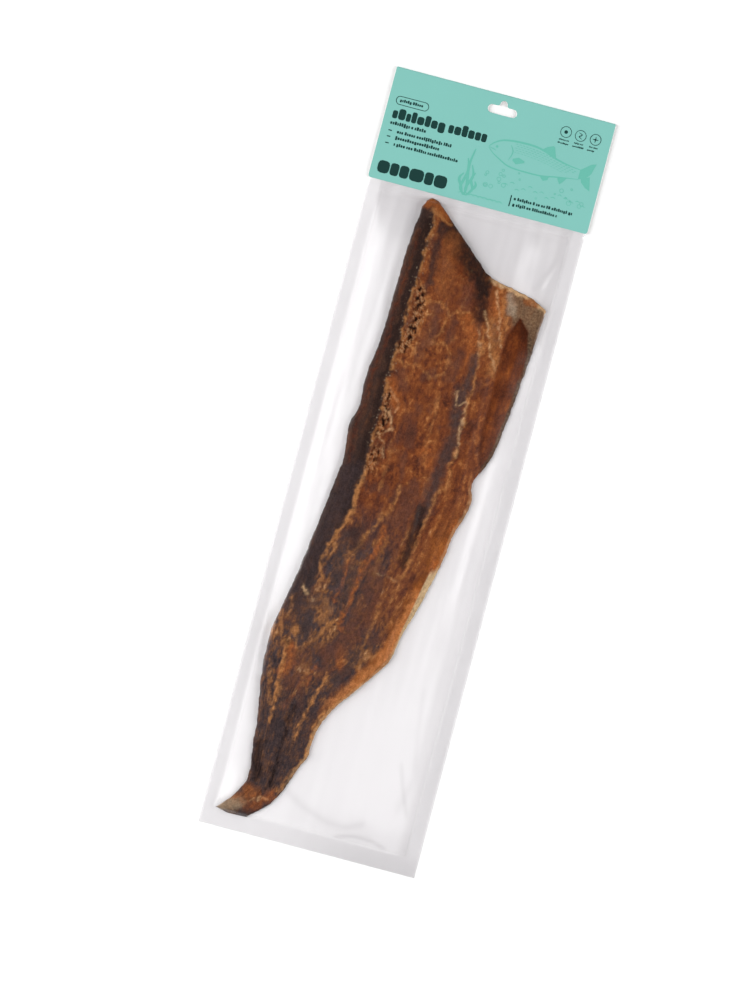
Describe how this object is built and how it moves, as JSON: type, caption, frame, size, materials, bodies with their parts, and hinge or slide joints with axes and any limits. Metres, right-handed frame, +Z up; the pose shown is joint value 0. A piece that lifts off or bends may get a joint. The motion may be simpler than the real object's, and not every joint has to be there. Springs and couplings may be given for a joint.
{
  "type": "packaged dried salmon fillet",
  "caption": "Whole air-dried salmon fillet in a long flat clear pouch, heat-sealed all round, under a folded card header with a hang slot.",
  "frame": {"origin": "middle of the pack's outline, on the surface that it lies on, with the printed side up", "axes": "+X to the right of the printed face, +Y along the pack towards the card's fold and the hang slot, +Z up, out of the shown face"},
  "size_m": [0.162, 0.5584, 0.0085],
  "materials": {
    "clear_film": "gloss",
    "printed_card": "satin",
    "dried_fish": "satin"
  },
  "bodies": {
    "root": {"sealed_bag": "clear_film", "header_card": "printed_card"}
  },
  "joints": []
}
